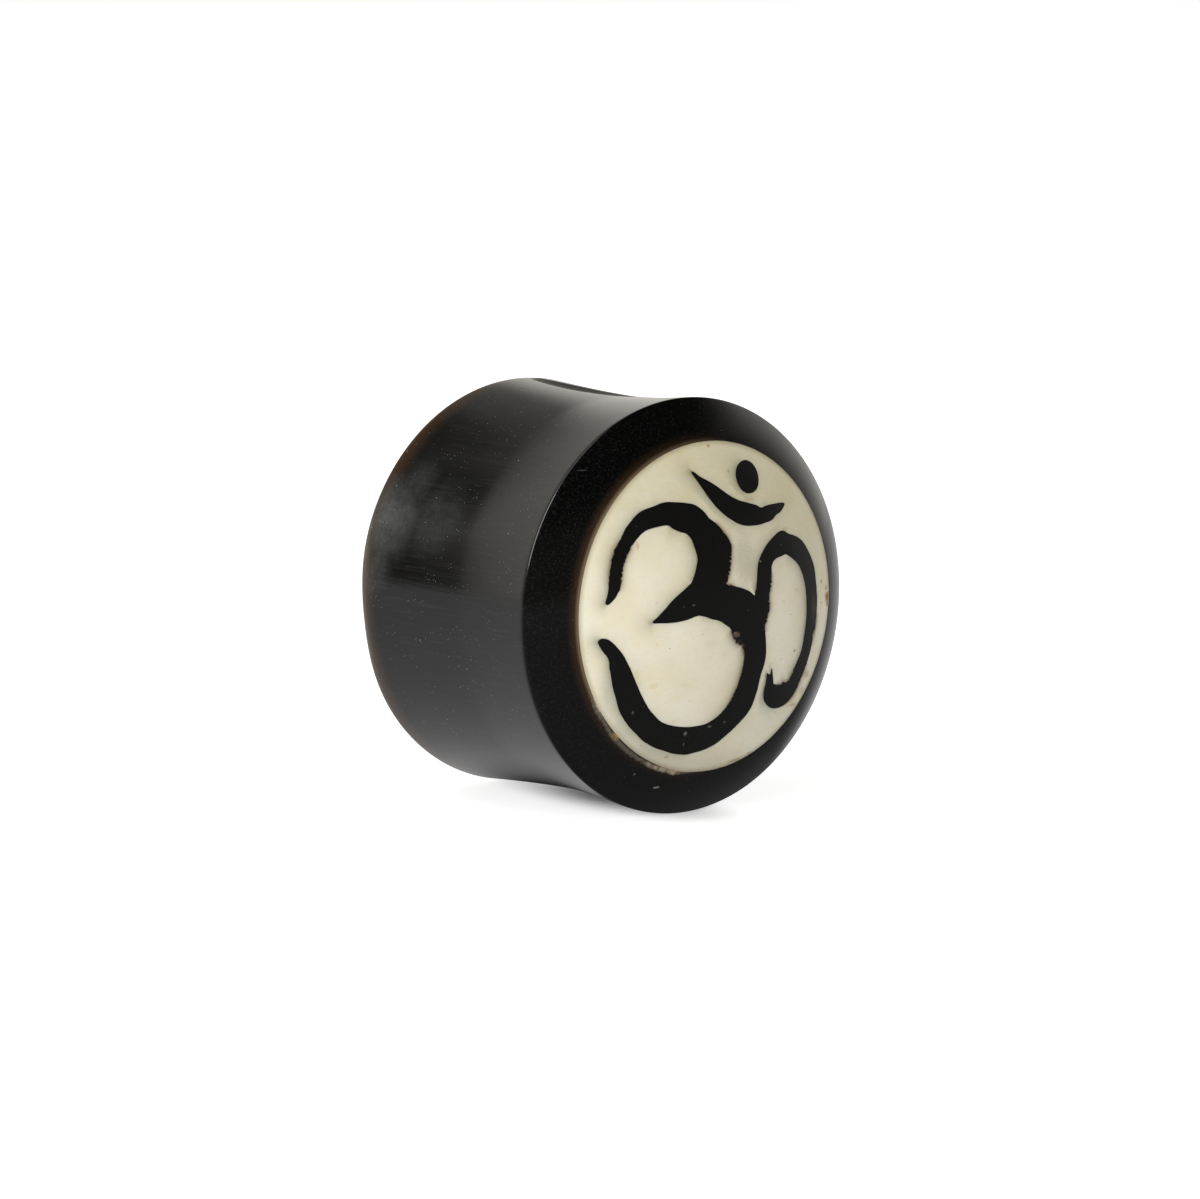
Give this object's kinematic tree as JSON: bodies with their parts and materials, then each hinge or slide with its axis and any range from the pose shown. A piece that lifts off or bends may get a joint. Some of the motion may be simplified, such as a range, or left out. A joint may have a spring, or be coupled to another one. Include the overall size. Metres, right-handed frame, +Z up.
{
  "type": "ear gauge plug",
  "caption": "Double-flared ear plug: a turned black horn body with a domed bone disc in its front face, inlaid flush with an Om sign in black.",
  "frame": {"origin": "on the surface that the plug lies on, under the middle of its bounding box", "axes": "+Z up with the plug lying on its side; +Y along the plug's axis towards its plain back, so the inlaid face looks along -Y; +X to the right of the face, with the top of the Om sign at +Z"},
  "size_m": [0.0166, 0.0132, 0.0166],
  "materials": {
    "black_horn": "hand-polished horn, satin gloss with fine lengthwise fibre lines",
    "cream_bone": "polished bone with fine pores",
    "black_inlay": "polished black horn, flush with the bone"
  },
  "bodies": {
    "root": {"horn_body": "black_horn", "bone_disc": "cream_bone", "om_inlay": "black_inlay", "crescent_inlay": "black_inlay", "dot_inlay": "black_inlay"}
  },
  "joints": []
}
